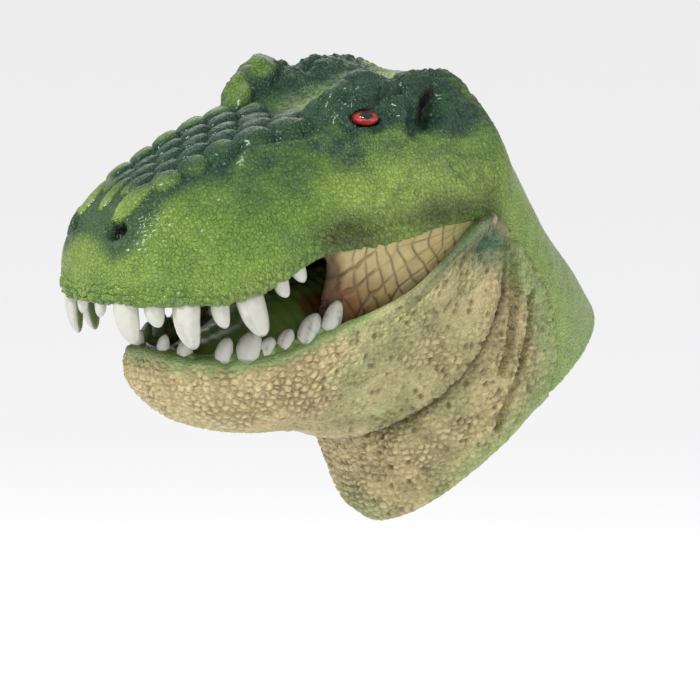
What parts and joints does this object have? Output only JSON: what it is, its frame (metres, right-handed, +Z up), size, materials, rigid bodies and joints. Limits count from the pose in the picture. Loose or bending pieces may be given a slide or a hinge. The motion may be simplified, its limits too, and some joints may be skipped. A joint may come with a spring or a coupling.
{
  "type": "dinosaur hand puppet",
  "caption": "Soft rubber dinosaur head worn on one hand, with a hinged mouth, teeth in both jaws and an oval wrist opening.",
  "frame": {"origin": "centre of the oval wrist opening", "axes": "the snout points along -Y, +X is the animal's left, +Z is up"},
  "size_m": [0.0822, 0.1554, 0.1181],
  "materials": {
    "green_rubber": "semi-gloss moulded rubber, sprayed green",
    "tan_rubber": "semi-gloss moulded rubber, tan with a dark wash",
    "web_rubber": "creased rubber, ochre",
    "mouth_rubber": "dark red-brown spray",
    "floor_rubber": "green rubber with dark red-brown spray",
    "gum_rubber": "green rubber",
    "tongue_rubber": "glossy green rubber with a red-brown stripe",
    "tooth_paint": "satin off-white paint on rubber",
    "eye_paint": "gloss red paint with a black pupil"
  },
  "bodies": {
    "neck": {"nape_sleeve": "green_rubber", "throat_sleeve": "tan_rubber", "nape_fold": "green_rubber", "throat_fold": "tan_rubber", "cheek_web_left": "web_rubber", "cheek_web_right": "web_rubber", "gullet_fold": "mouth_rubber"},
    "upper_head": {"head_skin": "green_rubber", "palate": "mouth_rubber", "upper_gum": "gum_rubber", "eye_left": "eye_paint", "eye_right": "eye_paint", "upper_tooth_left_1": "tooth_paint", "upper_tooth_left_2": "tooth_paint", "upper_tooth_left_3": "tooth_paint", "upper_tooth_left_4": "tooth_paint", "upper_tooth_left_5": "tooth_paint", "upper_tooth_left_6": "tooth_paint", "upper_tooth_left_7": "tooth_paint", "upper_tooth_left_8": "tooth_paint", "upper_tooth_right_1": "tooth_paint", "upper_tooth_right_2": "tooth_paint", "upper_tooth_right_3": "tooth_paint", "upper_tooth_right_4": "tooth_paint", "upper_tooth_right_5": "tooth_paint", "upper_tooth_right_6": "tooth_paint", "upper_tooth_right_7": "tooth_paint", "upper_tooth_right_8": "tooth_paint"},
    "lower_jaw": {"jaw_skin": "tan_rubber", "mouth_floor": "floor_rubber", "lower_gum": "gum_rubber", "tongue": "tongue_rubber", "lower_tooth_left_1": "tooth_paint", "lower_tooth_left_2": "tooth_paint", "lower_tooth_left_3": "tooth_paint", "lower_tooth_left_4": "tooth_paint", "lower_tooth_left_5": "tooth_paint", "lower_tooth_left_6": "tooth_paint", "lower_tooth_left_7": "tooth_paint", "lower_tooth_left_8": "tooth_paint", "lower_tooth_right_1": "tooth_paint", "lower_tooth_right_2": "tooth_paint", "lower_tooth_right_3": "tooth_paint", "lower_tooth_right_4": "tooth_paint", "lower_tooth_right_5": "tooth_paint", "lower_tooth_right_6": "tooth_paint", "lower_tooth_right_7": "tooth_paint", "lower_tooth_right_8": "tooth_paint"}
  },
  "joints": [
    {"name": "head_lift", "type": "hinge", "parent": "neck", "child": "upper_head", "pos_m": [0, -0.024, 0.055], "axis": [-1, 0, 0], "range_deg": [-5, 20], "stiffness_Nm_per_rad": 1.2, "deforming": ["nape_fold", "cheek_web_left", "cheek_web_right"]},
    {"name": "jaw_swing", "type": "hinge", "parent": "neck", "child": "lower_jaw", "pos_m": [0, -0.024, 0.055], "axis": [1, 0, 0], "range_deg": [-5, 25], "stiffness_Nm_per_rad": 1.2, "deforming": ["throat_fold"]}
  ]
}
